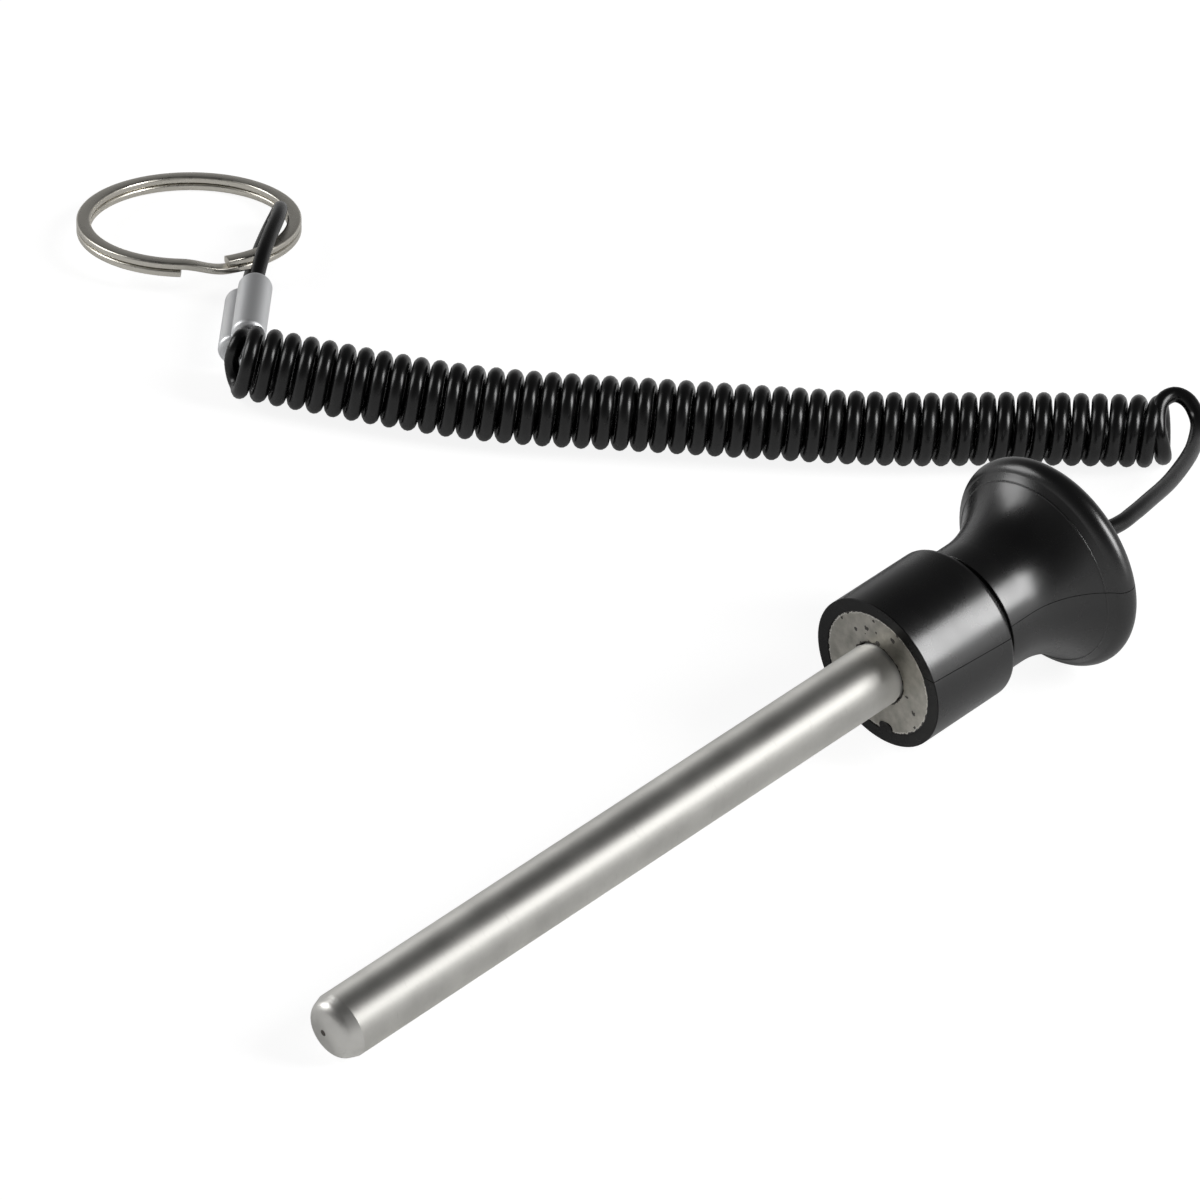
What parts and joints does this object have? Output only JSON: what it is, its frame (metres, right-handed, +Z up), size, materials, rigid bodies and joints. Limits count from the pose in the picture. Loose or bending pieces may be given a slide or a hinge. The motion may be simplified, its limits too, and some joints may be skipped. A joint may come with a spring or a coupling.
{
  "type": "weight stack selector pin",
  "caption": "Magnetic weight stack pin: blunt steel pin in a flared pull knob, with a coiled lanyard, a crimped cord loop and a split ring.",
  "frame": {"origin": "centre of the footprint box of the pin, knob and magnet, on the surface they lie on (z = 0)", "axes": "+X runs along the pin's plan direction from the nose to the knob, +Z is up; the pin itself rises towards the knob by 4.96 degrees, as it does at rest on its nose and rim"},
  "size_m": [0.2092, 0.2251, 0.0351],
  "materials": {
    "pin_steel": "satin ground steel with light handling marks",
    "magnet": "dull nickel plating with small specks",
    "knob_plastic": "gloss black moulding with a fine parting line",
    "cord_plastic": "semi-gloss black polyurethane cord",
    "ferrule_aluminium": "dull pressed aluminium",
    "ring_nickel": "bright nickel plated spring steel"
  },
  "bodies": {
    "pin": {"pin_shaft": "pin_steel", "ring_magnet": "magnet", "knob": "knob_plastic", "cord_lead": "cord_plastic", "cord_coil": "cord_plastic", "cord_loop": "cord_plastic", "crimp_ferrule": "ferrule_aluminium"},
    "ring": {"split_ring": "ring_nickel"}
  },
  "joints": [
    {"name": "ring_turn", "type": "hinge", "parent": "pin", "child": "ring", "pos_m": [0.0603, 0.1882, 0.00327], "axis": [0.0835, 0.0585, 0.9948], "continuous": true}
  ]
}
